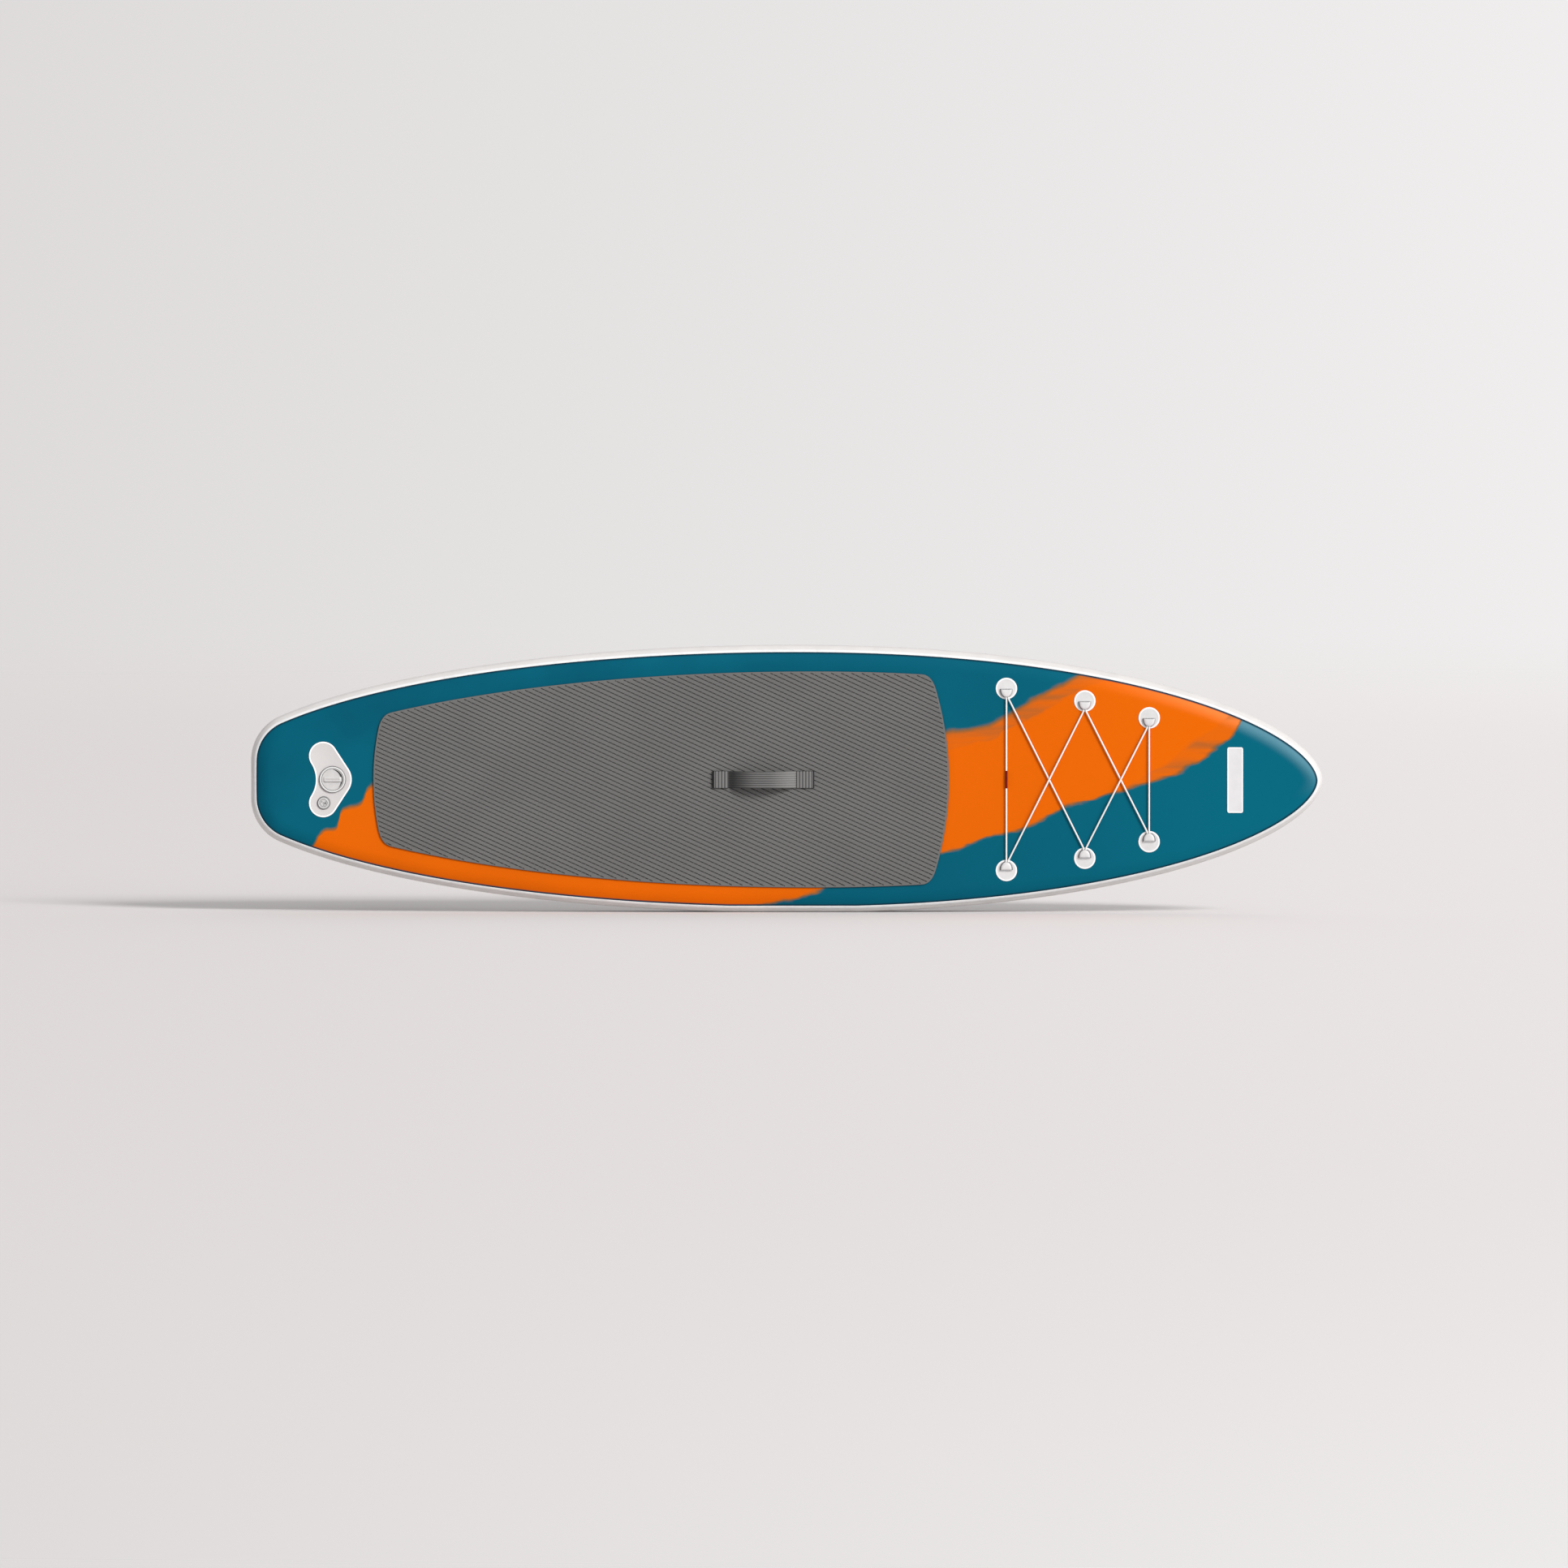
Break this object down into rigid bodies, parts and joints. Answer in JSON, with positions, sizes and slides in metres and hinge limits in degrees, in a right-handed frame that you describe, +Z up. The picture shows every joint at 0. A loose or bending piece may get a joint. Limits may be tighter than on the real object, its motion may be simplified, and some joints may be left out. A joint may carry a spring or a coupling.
{
  "type": "inflatable stand-up paddle board",
  "caption": "Inflatable stand-up paddle board with foam deck pad, carry strap, laced cargo cord, air valve, relief valve and underside fins, standing on its long side.",
  "frame": {"origin": "floor point under the board's widest place, on the middle of the side wall it stands on", "axes": "+X to the nose, +Y out of the underside (the deck faces -Y), +Z up across the board's width"},
  "size_m": [3.2, 0.4889, 0.7974],
  "materials": {
    "teal_print": "satin",
    "rail_pvc": "satin",
    "tape_pvc": "satin",
    "white_pvc": "satin",
    "drop_stitch_cloth": "matte",
    "deck_foam": "matte",
    "strap_webbing": "matte",
    "handle_end": "matte",
    "cord_cover": "matte",
    "joiner_red": "satin",
    "valve_plastic": "satin",
    "seal_rubber": "matte",
    "spring_steel": "satin",
    "brass": "satin",
    "fin_plastic": "satin"
  },
  "bodies": {
    "board": {"bungee_cord": "cord_cover", "cord_guide_1": "valve_plastic", "cord_guide_2": "valve_plastic", "cord_guide_3": "valve_plastic", "cord_guide_4": "valve_plastic", "cord_guide_5": "valve_plastic", "cord_guide_6": "valve_plastic", "cord_joiner": "joiner_red", "cord_patch_1": "white_pvc", "cord_patch_2": "white_pvc", "cord_patch_3": "white_pvc", "cord_patch_4": "white_pvc", "cord_patch_5": "white_pvc", "cord_patch_6": "white_pvc", "deck_pad": "deck_foam", "deck_skin": "teal_print", "drop_stitch_core": "drop_stitch_cloth", "fin_box": "fin_plastic", "fin_patch": "rail_pvc", "handle_end_front": "handle_end", "handle_end_rear": "handle_end", "handle_strap": "strap_webbing", "hull_skin": "rail_pvc", "nose_plate": "white_pvc", "rail_band": "rail_pvc", "relief_body": "valve_plastic", "relief_guard": "valve_plastic", "relief_nut": "valve_plastic", "relief_spring": "spring_steel", "seam_tape_deck": "tape_pvc", "seam_tape_hull": "tape_pvc", "side_fin_left": "fin_plastic", "side_fin_right": "fin_plastic", "side_patch_left": "rail_pvc", "side_patch_right": "rail_pvc", "sidewall_strip": "drop_stitch_cloth", "valve_body": "valve_plastic", "valve_gasket": "seal_rubber", "valve_nut": "valve_plastic", "valve_plate": "white_pvc", "valve_spring": "spring_steel"},
    "cap_seal": {"valve_cap_seal": "seal_rubber"},
    "cap": {"valve_cap": "valve_plastic"},
    "valve_carrier": {"valve_washer": "spring_steel"},
    "valve_stem": {"valve_pin": "valve_plastic", "valve_button": "valve_plastic", "valve_disc_seal": "seal_rubber"},
    "relief_plunger": {"relief_poppet": "valve_plastic"},
    "fin": {"fin_centre": "fin_plastic", "fin_pin": "brass"},
    "fin_clamp_screw": {"fin_screw": "spring_steel"},
    "fin_clamp_nut": {"fin_nut": "brass"}
  },
  "joints": [
    {"name": "cap_lift", "type": "slide", "parent": "board", "child": "cap_seal", "axis": [0, -1, 0], "range_m": [0, 0.0045]},
    {"name": "cap_turn", "type": "hinge", "parent": "cap_seal", "child": "cap", "pos_m": [-1.356, -0.075, 0.3976], "axis": [0, 1, 0], "range_deg": [0, 540]},
    {"name": "valve_push", "type": "slide", "parent": "board", "child": "valve_carrier", "axis": [0, 1, 0], "range_m": [0, 0.004], "stiffness_N_per_m": 500, "springref_m": -0.003, "deforming": ["valve_spring"]},
    {"name": "valve_lock_turn", "type": "hinge", "parent": "valve_carrier", "child": "valve_stem", "pos_m": [-1.356, -0.06, 0.3976], "axis": [0, 1, 0], "range_deg": [0, 90]},
    {"name": "relief_lift", "type": "slide", "parent": "board", "child": "relief_plunger", "axis": [0, -1, 0], "range_m": [0, 0.002], "stiffness_N_per_m": 800, "springref_m": -0.004, "deforming": ["relief_spring"]},
    {"name": "fin_slide", "type": "slide", "parent": "board", "child": "fin", "axis": [1, 0, 0], "range_m": [-0.03, 0.03]},
    {"name": "screw_turn", "type": "hinge", "parent": "fin", "child": "fin_clamp_screw", "pos_m": [-1.117, 0.095, 0.3976], "axis": [0, 1, 0], "range_deg": [0, 1260]},
    {"name": "nut_travel", "type": "slide", "parent": "fin", "child": "fin_clamp_nut", "axis": [0, -1, 0], "range_m": [0, 0.00245]}
  ],
  "couplings": [
    {"joint": "cap_turn", "follows": "cap_lift", "rad_per_m": 2094.4},
    {"joint": "screw_turn", "follows": "nut_travel", "rad_per_m": 8975.9}
  ]
}
